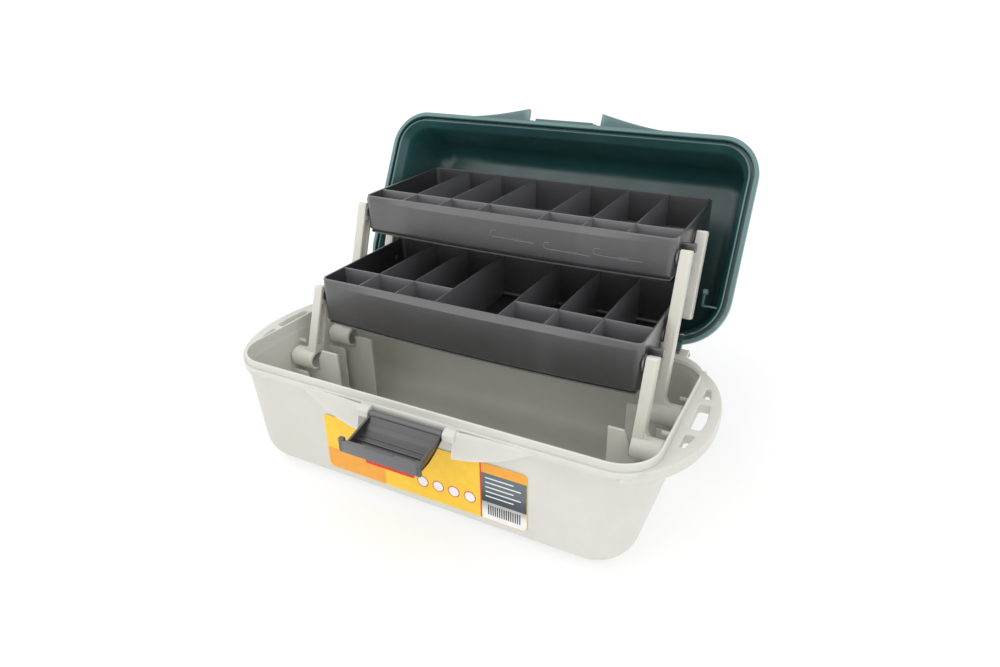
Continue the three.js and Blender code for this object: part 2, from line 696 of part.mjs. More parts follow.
addSided("rear_arm_top_pin", snapPin(), charcoal, upperFrontPin[0], upperFrontPin[1], 0);
addSided("link_lower_pin", snapPin(), charcoal, lowerRearPin[0], lowerRearPin[1], 0);
addSided("link_upper_pin", snapPin(), charcoal, upperRearPin[0], upperRearPin[1], 0);

const hingePin = bar(HINGE_PIN_RADIUS, 137, 169, 0, 0, 16);
addSided("lid_hinge_pin", hingePin, steel, HINGE_Y, HINGE_Z, 0);

addMesh("latch_flap", latchSolid(), charcoal());
addMesh("latch_pin", bar(1.4, -39.5, 39.5, LATCH_PIVOT_Y, LATCH_PIVOT_Z, 16), steel());

export default group;
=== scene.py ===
"""Cantilever tackle box, open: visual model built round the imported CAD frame. Lengths in mm."""
import json
import math

import bmesh
import bpy
from mathutils import Matrix, Vector

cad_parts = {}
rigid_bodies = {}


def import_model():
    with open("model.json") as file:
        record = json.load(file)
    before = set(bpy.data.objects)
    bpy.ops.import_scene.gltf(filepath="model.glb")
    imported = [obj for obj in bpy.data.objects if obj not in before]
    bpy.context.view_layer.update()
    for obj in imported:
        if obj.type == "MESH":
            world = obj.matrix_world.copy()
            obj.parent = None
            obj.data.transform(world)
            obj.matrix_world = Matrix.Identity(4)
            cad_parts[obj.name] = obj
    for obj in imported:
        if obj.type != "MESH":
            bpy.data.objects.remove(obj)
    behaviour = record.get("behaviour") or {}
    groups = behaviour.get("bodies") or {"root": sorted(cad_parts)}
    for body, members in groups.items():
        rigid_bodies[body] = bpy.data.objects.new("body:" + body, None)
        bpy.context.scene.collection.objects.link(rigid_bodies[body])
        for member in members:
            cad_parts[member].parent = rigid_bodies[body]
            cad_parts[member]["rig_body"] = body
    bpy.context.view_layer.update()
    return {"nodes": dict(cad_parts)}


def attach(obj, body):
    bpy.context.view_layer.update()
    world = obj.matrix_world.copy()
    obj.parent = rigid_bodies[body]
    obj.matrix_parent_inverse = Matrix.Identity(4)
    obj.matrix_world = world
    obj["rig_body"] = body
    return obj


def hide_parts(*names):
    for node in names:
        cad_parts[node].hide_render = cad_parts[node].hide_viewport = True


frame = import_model()

# ---- dimensions shared with the CAD ---------------------------------------------------------
WALL = 2.6
LEDGE_Z = 97.5
TUB = dict(half=191.2, front=-87.4, rear=94.2, radius=34)
WALL_TOP = dict(half=187.8, front=-86.8, rear=93, radius=35)
FOOT = dict(half=175, front=-85.9, rear=88.5, radius=32)
SKIRT_Z = 91.5
FOOT_FILLET = 24
LEDGE_WIDTH = 2
LIP_THICKNESS = 2.2
LIP_CLEARANCE = 0.4
LIP_HIGH_Z = 104
LIP_LOW_Z = 97.2
REAR_SHELF_Y = 103
HANDLE = dict(x=150, y=5, reach=65, half_span=92, squareness=2.13)
HANDLE_THICKNESS = 9
HANDLE_DROP = 0.35
WING_START = 43
WING_END = 108

RIM_Z = LEDGE_Z + 0.6
LID = dict(half=193.9, front=-91, rear=103, radius=37, rear_radius=47)
LID_TOP_Z = 183
LID_SHOULDER_Z = 158
LID_CREST_INSET = 7.3
HINGE_Y = 109.5
HINGE_Z = 95
HINGE_PIN = (137, 169)
LID_OPEN_DEG = 118

TRAY_HALF = 154
TRAY_WALL = 2.2
TRAY_BOW = 5
DIVIDER = 1.6
TRAY_RADIUS = 7
COLUMN_LINES = (-111, -71.5, -30.5, 30.5, 71.5, 111)
LOWER = dict(bottom=106, top=151, front=2.2, rear=136, row=34)
UPPER = dict(bottom=173.4, top=210.4, front=78.7, rear=212.3, row=28.5)
HOOKS = ((6, 193.5), (58, 189.5), (103, 190.5))

ARM_REACH = 64.5
LINK_SPACING = 56
LEAN = math.radians(19.5)
PIVOT_Z = 71.5
FRONT_PIVOT_Y = -12.5
REAR_PIVOT_Y = 43
ARM_X = 155.9
ARM_THICKNESS = 9
ARM_WIDTH = 12.5
ARM_END = 7
BOSS_RADIUS = 9.8
BOSS_END_X = 180.4
SPIGOT_RADIUS = 7

LATCH_Y = -91.6
LATCH_Z = 91.5
LATCH_HALF = 33
LATCH_REACH = 37
LATCH_SAG = 13.5
LATCH_SHEET = 2.4
LATCH_PIN_HALF = 39.5

LABEL = dict(x0=-87, x1=101, z0=20.5, z1=73.5)
LABEL_SPLIT_X = 62

MM = 0.001
WELD = 0.000002


# ---- materials ------------------------------------------------------------------------------
def srgb(r, g, b):
    def lin(c):
        c /= 255
        return c / 12.92 if c <= 0.04045 else ((c + 0.055) / 1.055) ** 2.4
    return (lin(r), lin(g), lin(b), 1)


class Nodes:
    """A small helper around one material's node tree."""

    def __init__(self, name):
        self.material = bpy.data.materials.new(name)
        self.material.use_nodes = True
        self.tree = self.material.node_tree
        self.shader = self.tree.nodes["Principled BSDF"]
        self.coords = self.node("ShaderNodeTexCoord")
        self.bump_chain = None

    def node(self, kind):
        return self.tree.nodes.new(kind)

    def link(self, source, target):
        self.tree.links.new(source, target)

    def noise(self, scale, detail=3.0, roughness=0.5, stretch=(1, 1, 1)):
        mapping = self.node("ShaderNodeMapping")
        mapping.inputs["Scale"].default_value = stretch
        self.link(self.coords.outputs["Object"], mapping.inputs["Vector"])
        texture = self.node("ShaderNodeTexNoise")
        texture.inputs["Scale"].default_value = scale
        texture.inputs["Detail"].default_value = detail
        texture.inputs["Roughness"].default_value = roughness
        self.link(mapping.outputs["Vector"], texture.inputs["Vector"])
        return texture.outputs["Fac"]

    def ramp(self, source, low, high, a=0.0, b=1.0):
        node = self.node("ShaderNodeMapRange")
        node.inputs["From Min"].default_value = low
        node.inputs["From Max"].default_value = high
        node.inputs["To Min"].default_value = a
        node.inputs["To Max"].default_value = b
        self.link(source, node.inputs["Value"])
        return node.outputs["Result"]

    def mix(self, factor, a, b, blend="MIX"):
        node = self.node("ShaderNodeMix")
        node.data_type = "RGBA"
        node.blend_type = blend
        for value, key in ((factor, "Factor"), (a, "A"), (b, "B")):
            sockets = [s for s in node.inputs if s.name == key and s.enabled]
            if isinstance(value, bpy.types.NodeSocket):
                self.link(value, sockets[0])
            else:
                sockets[0].default_value = value
        return [s for s in node.outputs if s.enabled][0]

    def bump(self, height, strength, distance):
        node = self.node("ShaderNodeBump")
        node.inputs["Strength"].default_value = strength
        node.inputs["Distance"].default_value = distance
        self.link(height, node.inputs["Height"])
        if self.bump_chain:
            self.link(self.bump_chain, node.inputs["Normal"])
        self.bump_chain = node.outputs["Normal"]
        self.link(self.bump_chain, self.shader.inputs["Normal"])

    def edge(self):
        geometry = self.node("ShaderNodeNewGeometry")
        return geometry.outputs["Pointiness"]


def moulded(name, colour, shade, edge_colour, roughness, streak=0.0, scatter=0.0, specular=0.5,
            dust=None, coat=0.0):
    """Moulded plastic: colour drift, fine grain, brighter edges that are partly wear and partly painted
    highlight, and optional flow streaks.
    """
    n = Nodes(name)
    drift = n.ramp(n.noise(9, 4), 0.35, 0.65)
    colours = n.mix(drift, shade, colour)
    patch = n.ramp(n.noise(45, 5, 0.6), 0.42, 0.62, 0.0, 0.35)
    colours = n.mix(patch, colours, shade)
    if streak:
        flow = n.ramp(n.noise(22, 3, 0.6, (1, 0.15, 0.12)), 0.52, 0.75, 0.0, streak)
        colours = n.mix(flow, colours, edge_colour)
    if dust is not None:
        speck = n.ramp(n.noise(700, 2, 0.6), 0.74, 0.78, 0.0, 0.7)
        colours = n.mix(speck, colours, dust)
    # convex edges are lightened toward edge_colour: partly wear, partly painted highlight
    wear_and_highlight = n.ramp(n.edge(), 0.515, 0.58, 0.0, 0.55)
    colours = n.mix(wear_and_highlight, colours, edge_colour)
    n.link(colours, n.shader.inputs["Base Color"])
    rough = n.ramp(n.noise(30, 4, 0.6), 0.3, 0.7, roughness - 0.06, roughness + 0.08)
    n.link(rough, n.shader.inputs["Roughness"])
    n.bump(n.noise(2600, 2), 0.25, 0.00002)
    n.bump(n.noise(60, 2), 0.3, 0.00012)
    n.shader.inputs["Specular IOR Level"].default_value = specular
    n.shader.inputs["Coat Weight"].default_value = coat
    n.shader.inputs["Coat Roughness"].default_value = 0.35
    if scatter:
        n.shader.inputs["Subsurface Weight"].default_value = scatter
        n.shader.inputs["Subsurface Radius"].default_value = (1.0, 0.8, 0.55)
        n.shader.inputs["Subsurface Scale"].default_value = 0.004
    return n.material


def steel():
    n = Nodes("steel_wire")
    brushed = n.noise(900, 3, 0.6, (0.05, 1, 1))
    n.link(n.mix(n.ramp(brushed, 0.4, 0.6), srgb(150, 150, 148), srgb(205, 205, 202)),
           n.shader.inputs["Base Color"])
    n.shader.inputs["Metallic"].default_value = 1
    n.link(n.ramp(brushed, 0.3, 0.7, 0.22, 0.4), n.shader.inputs["Roughness"])
    n.bump(brushed, 0.2, 0.00002)
    return n.material


def printed(name, colour):
    n = Nodes(name)
    light = tuple(min(c * 1.03, 1) for c in colour[:3]) + (1,)
    dark = tuple(c * 0.97 for c in colour[:3]) + (1,)
    n.link(n.mix(n.ramp(n.noise(120, 4), 0.4, 0.6), dark, light), n.shader.inputs["Base Color"])
    n.link(n.ramp(n.noise(60, 3), 0.3, 0.7, 0.3, 0.42), n.shader.inputs["Roughness"])
    n.bump(n.noise(40, 2), 0.15, 0.00015)
    return n.material


# the third colour of each plastic lightens its edges, partly as wear and partly as painted highlight,
# and tints its flow streaks
IVORY = moulded("ivory_plastic", srgb(214, 214, 207), srgb(206, 205, 196), srgb(228, 228, 222),
                0.42, scatter=0.12)
ARM_IVORY = moulded("arm_plastic", srgb(219, 218, 209), srgb(211, 209, 198), srgb(233, 232, 226),
                    0.42, scatter=0.12)
GREEN = moulded("green_plastic", srgb(42, 88, 88), srgb(35, 78, 78), srgb(124, 164, 164), 0.34,
                specular=0.8, coat=0.4)
CHARCOAL = moulded("tray_plastic", srgb(44, 44, 47), srgb(36, 36, 39), srgb(112, 112, 116), 0.34,
                   streak=0.12, dust=srgb(176, 176, 171), specular=1.0, coat=1.0)
LATCH_DARK = moulded("latch_plastic", srgb(38, 38, 41), srgb(31, 31, 34), srgb(100, 100, 104), 0.32,
                     specular=0.9, coat=0.5)
PIN_DARK = moulded("pin_plastic", srgb(50, 50, 52), srgb(42, 42, 44), srgb(100, 100, 103), 0.4)
STEEL = steel()


# ---- mesh building --------------------------------------------------------------------------
SHARP_ANGLE = math.radians(38)


class Body:
    """Vertices and faces of one piece, in mm, until it is made into an object."""

    def __init__(self):
        self.verts = []
        self.faces = []
        self.marks = []

    def add(self, verts, faces, mark=0):
        base = len(self.verts)
        self.verts.extend(Vector(v) for v in verts)
        self.faces.extend([base + i for i in face] for face in faces)
        self.marks.extend([mark] * len(faces))

    def loft(self, loops, cap=True):
        count = len(loops[0])
        verts = [p for loop in loops for p in loop]
        faces = []
        for level in range(len(loops) - 1):
            for i in range(count):
                a = level * count + i
                b = level * count + (i + 1) % count
                faces.append((a, b, b + count, a + count))
        if cap:
            faces.append(tuple(range(count - 1, -1, -1)))
            last = (len(loops) - 1) * count
            faces.append(tuple(range(last, last + count)))
        self.add(verts, faces)

    def box(self, x0, x1, y0, y1, z0, z1):
        ring = ((x0, y0), (x1, y0), (x1, y1), (x0, y1))
        self.loft([[(x, y, z) for x, y in ring] for z in (z0, z1)])

    def plate(self, outlines, depth, bevel, place, resolution=2, mark=0):
        """A flat shape with holes, its edges rounded, laid in the plane that `place` gives."""
        curve = bpy.data.curves.new("outline", "CURVE")
        curve.dimensions = "2D"
        curve.fill_mode = "BOTH"
        curve.extrude = depth / 2 - bevel
        curve.bevel_depth = bevel
        curve.bevel_resolution = resolution
        curve.offset = -bevel
        for outline in outlines:
            spline = curve.splines.new("POLY")
            spline.points.add(len(outline) - 1)
            for point, (u, v) in zip(spline.points, outline):
                point.co = (u, v, 0, 1)
            spline.use_cyclic_u = True
        holder = bpy.data.objects.new("outline", curve)
        bpy.context.scene.collection.objects.link(holder)
        mesh = holder.to_mesh()
        made = bmesh.new()
        made.from_mesh(mesh)
        bmesh.ops.remove_doubles(made, verts=made.verts, dist=0.001)
        verts = [place @ v.co for v in made.verts]
        faces = [[v.index for v in f.verts] for f in made.faces]
        made.free()
        holder.to_mesh_clear()
        bpy.data.objects.remove(holder)
        bpy.data.curves.remove(curve)
        self.add(verts, faces, mark)

    def lathe(self, profile, y, z, steps=40):
        """A closed (x, radius) profile turned round an axis along X."""
        loops = []
        for x, radius in profile:
            loops.append([(x, y + radius * math.cos(a), z + radius * math.sin(a))
                          for a in (2 * math.pi * k / steps for k in range(steps))])
        hollow = profile[0][1] > 0 and profile[-1][1] > 0
        self.loft(loops + [loops[0]] if hollow else loops, cap=not hollow)

    def mirror(self):
        other = Body()
        other.verts = [Vector((-v.x, v.y, v.z)) for v in self.verts]
        other.faces = [list(reversed(f)) for f in self.faces]
        other.marks = list(self.marks)
        return other

    def join(self, other):
        base = len(self.verts)
        self.verts.extend(v.copy() for v in other.verts)
        self.faces.extend([base + i for i in f] for f in other.faces)
        self.marks.extend(other.marks)

    def turned(self, y, z, angle):
        """Turned about an axis along X through (y, z)."""
        turn = Matrix.Translation((0, y, z)) @ Matrix.Rotation(angle, 4, "X")
        turn = turn @ Matrix.Translation((0, -y, -z))
        self.verts = [turn @ v for v in self.verts]
        return self

    def moved(self, y, z):
        self.verts = [v + Vector((0, y, z)) for v in self.verts]
        return self

    def piece(self, name, materials, body, slot, nodes=(), cutters=()):
        """Makes the object, cuts it, attaches it to its body and hides the CAD nodes it stands for."""
        mesh = bpy.data.meshes.new(name)
        mesh.from_pydata([v * MM for v in self.verts], [], self.faces)
        for polygon, mark in zip(mesh.polygons, self.marks):
            polygon.material_index = mark
        made = bmesh.new()
        made.from_mesh(mesh)
        bmesh.ops.remove_doubles(made, verts=made.verts, dist=WELD)
        bmesh.ops.dissolve_degenerate(made, edges=made.edges, dist=0.000001)
        bmesh.ops.recalc_face_normals(made, faces=made.faces)
        made.to_mesh(mesh)
        made.free()
        for material in materials if isinstance(materials, (list, tuple)) else [materials]:
            mesh.materials.append(material)
        thing = bpy.data.objects.new(name, mesh)
        bpy.context.scene.collection.objects.link(thing)
        for cutter in cutters:
            carve(thing, cutter)
        mesh = thing.data
        mesh.shade_smooth()
        mesh.set_sharp_from_angle(angle=SHARP_ANGLE)
        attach(thing, body)
        if nodes:
            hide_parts(*nodes)


def carve(thing, cutter):
    """Cuts a Body out of an object and keeps the result as its mesh."""
    mesh = bpy.data.meshes.new("cutter")
    mesh.from_pydata([v * MM for v in cutter.verts], [], cutter.faces)
    made = bmesh.new()
    made.from_mesh(mesh)
    bmesh.ops.remove_doubles(made, verts=made.verts, dist=WELD)
    bmesh.ops.recalc_face_normals(made, faces=made.faces)
    made.to_mesh(mesh)
    made.free()
    tool = bpy.data.objects.new("cutter", mesh)
    bpy.context.scene.collection.objects.link(tool)
    modifier = thing.modifiers.new("cut", "BOOLEAN")
    modifier.object = tool
    modifier.operation = "DIFFERENCE"
    modifier.solver = "EXACT"
    modifier.use_self = True
    view = bpy.context.evaluated_depsgraph_get()
    result = bpy.data.meshes.new_from_object(thing.evaluated_get(view))
    thing.modifiers.clear()
    thing.data = result
    bpy.data.objects.remove(tool)


PLAN = Matrix.Identity(4)                                       # (u, v) -> (x, y)
SIDE = Matrix(((0, 0, 1, 0), (1, 0, 0, 0), (0, 1, 0, 0), (0, 0, 0, 1)))    # (u, v) -> (y, z)
FACE = Matrix(((1, 0, 0, 0), (0, 0, -1, 0), (0, 1, 0, 0), (0, 0, 0, 1)))   # (u, v) -> (x, z)


def at(plane, x=0, y=0, z=0):
    return Matrix.Translation((x, y, z)) @ plane


def lerp(a, b, t):
    return a + (b - a) * t


def smoothstep(x, low, high):
    t = min(max((x - low) / (high - low), 0), 1)
    return t * t * (3 - 2 * t)


def inset(shape, d):
    shape = dict(shape)
    shape["half"] -= d
    shape["front"] += d
    shape["rear"] -= d
    for key in ("radius", "rear_radius"):
        if key in shape:
            shape[key] = max(shape[key] - d, 1.2)
    return shape


def blend(a, b, t):
    return {key: lerp(a[key], b[key], t) for key in a}


def outline(half, front, rear, radius, rear_radius=None, bow=0, steps=14, fill=1):
    """Rounded rectangle in plan, anticlockwise, with `fill` pieces along each straight side."""
    back = radius if rear_radius is None else rear_radius
    corners = (
        (half - back, rear - back, 0, back),
        (back - half, rear - back, 90, back),
        (radius - half, front + radius, 180, radius),
        (half - radius, front + radius, 270, radius),
    )
    points = []
    for k, (cx, cy, start, r) in enumerate(corners):
        for i in range(steps + 1):
            a = math.radians(start + 90 * i / steps)
            points.append((cx + r * math.cos(a), cy + r * math.sin(a)))
        nx, ny, nstart, nr = corners[(k + 1) % 4]
        a = math.radians(nstart)
        target = (nx + nr * math.cos(a), ny + nr * math.sin(a))
        origin = points[-1]
        for i in range(1, fill):
            t = i / fill
            x, y = lerp(origin[0], target[0], t), lerp(origin[1], target[1], t)
            if k == 2 and bow:
                u = 2 * t - 1
                y -= bow * (1 - u * u)
            points.append((x, y))
    return points


def loop(shape, z, **options):
    height = z if callable(z) else (lambda y: z)
    return [(x, y, height(y)) for x, y in outline(**shape, **options)]


def rounded_box(u0, u1, v0, v1, r, steps=5):
    points = []
    for cx, cy, start in ((u1 - r, v0 + r, -90), (u1 - r, v1 - r, 0), (u0 + r, v1 - r, 90),
                          (u0 + r, v0 + r, 180)):
        for i in range(steps + 1):
            a = math.radians(start + 90 * i / steps)
            points.append((cx + r * math.cos(a), cy + r * math.sin(a)))
    return points


def soften(points, r, steps=4):
    """Rounds the corners of a polygon."""
    out = []
    count = len(points)
    for i in range(count):
        p, c, n = (Vector(points[(i + k) % count]) for k in (-1, 0, 1))
        reach = min(r, (p - c).length * 0.45, (n - c).length * 0.45)
        a, b = c + (p - c).normalized() * reach, c + (n - c).normalized() * reach
        for k in range(steps + 1):
            t = k / steps
            q = a * (1 - t) ** 2 + c * 2 * t * (1 - t) + b * t * t
            out.append((q.x, q.y))
    return out


# ---- tub ------------------------------------------------------------------------------------
def tub_wall(z):
    return blend(FOOT, WALL_TOP, z / SKIRT_Z)


def lip_top(y):
    return LIP_HIGH_Z + (LIP_LOW_Z - LIP_HIGH_Z) * smoothstep(y, 48, 86)


def foot_loops(radius, floor, skin):
    loops = []
    for degrees in range(0, 91, 10):
        t = math.radians(degrees)
        z = floor + radius * (1 - math.cos(t))
        loops.append(loop(inset(tub_wall(z), skin + radius * (1 - math.sin(t))), z))
    return loops


def tub_shell(body):
    outer, inner = inset(TUB, LEDGE_WIDTH), inset(TUB, LEDGE_WIDTH + LIP_THICKNESS)

    def ring(shape, d, drop):
        return loop(inset(shape, d), lambda y: lip_top(y) - drop)

    body.loft([
        *foot_loops(FOOT_FILLET, 0, 0),
        loop(tub_wall(60), 60),
        loop(WALL_TOP, SKIRT_Z - 0.6),
        loop(inset(WALL_TOP, -0.4), SKIRT_Z),
        loop(blend(WALL_TOP, TUB, 0.85), SKIRT_Z + 1.2),
        loop(TUB, SKIRT_Z + 2.4),
        loop(TUB, LEDGE_Z - 1),
        loop(inset(TUB, 0.3), LEDGE_Z - 0.3),
        loop(inset(TUB, 1), LEDGE_Z),
        loop(inset(TUB, 1.5), LEDGE_Z - 0.25),
        loop(outer, LEDGE_Z - 0.1),
        ring(outer, 0.05, 1.2),
        ring(outer, 0.35, 0.35),
        ring(outer, 1.1, 0),
        ring(outer, 1.85, 0.35),
        ring(outer, 2.15, 1.2),
        loop(inner, LEDGE_Z - 2.5),
        loop(inset(WALL_TOP, WALL - 0.6), SKIRT_Z + 1.4),
        loop(inset(WALL_TOP, WALL), SKIRT_Z - 1),
        *reversed(foot_loops(FOOT_FILLET - WALL, WALL, WALL)),
    ])


def rear_shelf(body):
    """Ledge behind the rear wall, and the four lugs that hold the lid's hinge pins."""
    shelf = dict(half=LID["half"] - 4, front=45, rear=REAR_SHELF_Y, radius=LID["radius"])
    behind = [p for p in outline(**shelf, steps=14) if p[1] > 80]
    behind.sort(key=lambda p: math.atan2(p[1] - 40, p[0]))
    inner = [p for p in outline(**inset(TUB, 1.5), steps=14) if p[1] > 80]
    inner.sort(key=lambda p: -math.atan2(p[1] - 40, p[0]))
    ring = behind + inner
    body.loft([[(x, y, z) for x, y in ring] for z in (LEDGE_Z - 3.6, LEDGE_Z - 0.1)])
    body.box(-160, 160, REAR_SHELF_Y - WALL, REAR_SHELF_Y - 0.1, LEDGE_Z - 8, LEDGE_Z - 1)
    for side in (1, -1):
        for x0, x1 in ((138, 146), (160, 168)):
            a, b = sorted((side * x0, side * x1))
            body.plate([soften([
                (REAR_SHELF_Y - 3, LEDGE_Z - 8.5), (HINGE_Y, HINGE_Z - 4.6),
                (HINGE_Y + 3.4, HINGE_Z - 3.2), (HINGE_Y + 4.5, HINGE_Z),
                (HINGE_Y + 3.4, HINGE_Z + 3.2), (HINGE_Y, HINGE_Z + 4.5),
                (HINGE_Y - 3, HINGE_Z + 3.4), (REAR_SHELF_Y - 3, LEDGE_Z - 0.7),
            ], 1.5)], b - a, 0.5, at(SIDE, x=(a + b) / 2))


def handle_shape():
    """Right-hand handle in plan: the outer edge, the wall side, and three windows."""
    power = 2 / HANDLE["squareness"]
    outer = []
    for degrees in range(-75, 76, 3):
        t = math.radians(degrees)
        sideways = HANDLE["half_span"] * abs(math.sin(t)) ** power
        outer.append((HANDLE["x"] + HANDLE["reach"] * math.cos(t) ** power,
                      HANDLE["y"] + math.copysign(sideways, t)))
    wall = [p for p in outline(**inset(TUB, 3.6), steps=14, fill=6)
            if p[0] > 150 and outer[0][1] + 1.5 < p[1] < outer[-1][1] - 5]
    wall.sort(key=lambda p: -p[1])
    windows = [
        [(196, -9), (205, -9), (206.4, 5), (204.4, 30), (196, 30)],
        [(196, -36), (199.6, -36), (203.4, -17), (196, -17)],
        [(196, 38), (202.8, 38), (199, 55), (196, 55)],
    ]
    return [outer + wall] + [list(reversed(soften(w, 2.6))) for w in windows]


def wing_profile(u):
    """Heights of the lower and upper edge, then how far each stands out from the wall."""
    low = 76 + 19 * u ** 2.1
    high = LEDGE_Z - 1.2
    brow = TUB["front"] - 0.4 - 3.2 * (1 - u) ** 1.3
    chin = TUB["front"] - 0.4 - 10.4 * (1 - u)
    return low, high, brow, chin


def wing(body):
    """Hollow guard beside the latch, deepest next to it and fading into the wall."""
    back = TUB["front"] + 2
    shell, count = [], 28
    for k in range(count + 1):
        u = k / count
        x = lerp(WING_START, WING_END, u)
        low, high, brow, chin = wing_profile(u)
        skin = min(1.8, (back - brow) * 0.45)
        round_off = min(1.6, (back - chin) * 0.35)

        def face(t):
            bulge = 1.1 * (1 - u) * math.sin(math.pi * t)
            return lerp(chin, brow, t) - bulge

        def level(t):
            return lerp(low, high, t)

        shell.append([
            (x, back, low),
            (x, chin + round_off * 1.4, low),
            (x, chin + round_off * 0.4, low + round_off * 0.4),
            *((x, face(t), level(t)) for t in (0.16, 0.34, 0.55, 0.78)),
            (x, brow, high - 0.5),
            (x, brow + 0.4, high),
            (x, brow + skin - 0.4, high),
            (x, brow + skin, high - 0.5),
            *((x, face(t) + skin, level(t)) for t in (0.6, 0.3)),
            (x, back, level(0.24)),
        ])
    body.loft(shell)
    low, high, brow, chin = wing_profile(0)
    cheek = [(back, low + 0.3), (chin + 2, low + 0.3), (chin + 0.7, low + 1.6),
             (lerp(chin, brow, 0.5) - 0.6, (low + high) / 2),
             (brow + 0.3, high - 1.2), (brow + 1.2, high - 0.2), (back, high - 0.2)]
    body.plate([cheek], 2.2, 0.4, at(SIDE, x=WING_START + 1.15))


def ear(body):
    """Lug that holds one end of the latch pin."""
    x0, x1 = LATCH_HALF + 1, WING_START + 1
    body.plate([soften([
        (TUB["front"] + 2, 84), (LATCH_Y - 3.6, LATCH_Z - 3), (LATCH_Y - 3.6, LATCH_Z + 3),
        (LATCH_Y + 1, LEDGE_Z - 0.4), (TUB["front"] + 2, LEDGE_Z - 0.4),
    ], 1.2)], x1 - x0, 0.5, at(SIDE, x=(x0 + x1) / 2))


def arm_seat(body, y, right):
    """Gusset plate, side plate, keeper tab and hollow spigot for one arm."""
    front = y == FRONT_PIVOT_Y
    inner = 134
    if front:
        inner = 136 if right else 131
    crown = 83 if front else 73
    shoulder = 149 if front else 153.5
    foot, top = 3, 60.5
    skirt = [(162, foot), (168, 7), (173.6, 15), (176.8, 26), (181.5, top)]
    gusset = [(inner, foot)] + skirt + [(154, top), (154, 73), (shoulder, crown), (inner, crown)]
    body.plate([gusset], 2.6, 0.35, at(FACE, y=y))
    body.plate([[(163, 5)] + skirt[1:] + [(163, top)]], 2.1, 0.3, at(FACE, y=y - 8))
    body.box(176, 184, y + 7.2, y + 9, PIVOT_Z + 11.5, PIVOT_Z + 14)
    body.lathe([(184.5, SPIGOT_RADIUS), (167, SPIGOT_RADIUS), (166, SPIGOT_RADIUS - 0.7),
                (166, SPIGOT_RADIUS - 2.4), (182, SPIGOT_RADIUS - 2.4), (184.5, 2)], y, PIVOT_Z)


def tub():
    body = Body()
    tub_shell(body)
    rear_shelf(body)
    for right in (True, False):
        side = Body()
        middle = LEDGE_Z - HANDLE_DROP - HANDLE_THICKNESS / 2
        side.plate(handle_shape(), HANDLE_THICKNESS, 1.1, at(PLAN, z=middle), resolution=4)
        wing(side)
        ear(side)
        for y in (FRONT_PIVOT_Y, REAR_PIVOT_Y):
            arm_seat(side, y, right)
        body.join(side if right else side.mirror())
    body.piece("tub", IVORY, "base", "ivory_plastic", ["base_tub"])


# ---- lid ------------------------------------------------------------------------------------
def lid_loops(shapes):
    return [loop(inset(LID, d), z, steps=16, fill=14) for d, z in shapes]


def open_lid(body):
    return body.turned(HINGE_Y, HINGE_Z, -math.radians(LID_OPEN_DEG))


def dome(body):
    """Lid shell, from the crown's inside round the rim to the crown's outside."""
    crest = LID_CREST_INSET
    rise = LID_TOP_Z - LID_SHOULDER_Z
    outside = [(0.6, RIM_Z), (0, RIM_Z + 0.6), (0, RIM_Z + 6.2), (0.5, RIM_Z + 7.2),
               (1.6, RIM_Z + 7.6), (9.6, RIM_Z + 9.2), (10.6, RIM_Z + 10.4)]
    for k in range(1, 9):
        t = k / 8
        outside.append((lerp(10.6, 12.5, t), lerp(RIM_Z + 10.4, LID_SHOULDER_Z, t)))
    for k in range(1, 11):
        t = math.radians(9 * k)
        outside.append((12.5 + 20 * (1 - math.cos(t)), LID_SHOULDER_Z + rise * math.sin(t)))
    inside = []
    for k in range(10, 0, -1):
        t = math.radians(9 * k)
        inside.append((15.1 + 17.4 * (1 - math.cos(t)), LID_SHOULDER_Z + (rise - WALL) * math.sin(t)))
    for k in range(8, 0, -1):
        t = k / 8
        inside.append((lerp(13.6, 15.1, t), lerp(RIM_Z + 11, LID_SHOULDER_Z, t)))
    inside += [(13.3, RIM_Z + 10.2), (12.7, RIM_Z + 9.4), (crest + 2.0, RIM_Z + 1.2),
               (crest + 1.5, RIM_Z + 0.4), (crest + 0.8, RIM_Z + 0.05), (crest + 0.15, RIM_Z + 0.4),
               (crest, RIM_Z + 1), (crest + 2.2, RIM_Z + 6.6), (4.6, RIM_Z + 6.6),
               (4.2, RIM_Z + 6), (4.2, RIM_Z + 0.6), (3.6, RIM_Z)]
    body.loft(lid_loops(inside + outside))


def fin(body):
    """Curved fin beside the latch gap, matching the guard on the tub."""
    shell, count = [], 16
    for k in range(count + 1):
        u = k / count
        x = lerp(39, 100, u)
        reach = 11.5 * (1 - u) ** 1.35 + 0.3
        back = LID["front"] + 2
        shell.append([(x, back, RIM_Z + 0.05), (x, back, RIM_Z + 7),
                      (x, LID["front"] - reach + 1.6, RIM_Z + 5.8),
                      (x, LID["front"] - reach + 0.3, RIM_Z + 4.6),
                      (x, LID["front"] - reach, RIM_Z + 0.9),
                      (x, LID["front"] - reach + 0.6, RIM_Z + 0.05)])
    body.loft(shell)


def peg(body):
    """Bracket, arm and round head of the small peg inside the lid's end."""
    bracket = soften([(168, 104), (182, 103.2), (182, 113), (168, 111.5)], 1)
    body.plate([bracket], 2, 0.4, at(FACE, y=63))
    body.plate([rounded_box(50, 64, 106.4, 109.6, 1)], 3, 0.6, at(SIDE, x=168.1))
    head = [(166.2, 0), (166.2, 2.2), (166.8, 2.8), (170.4, 2.8), (171, 2.2), (171, 0)]
    body.lathe(head, 50, 108, 20)


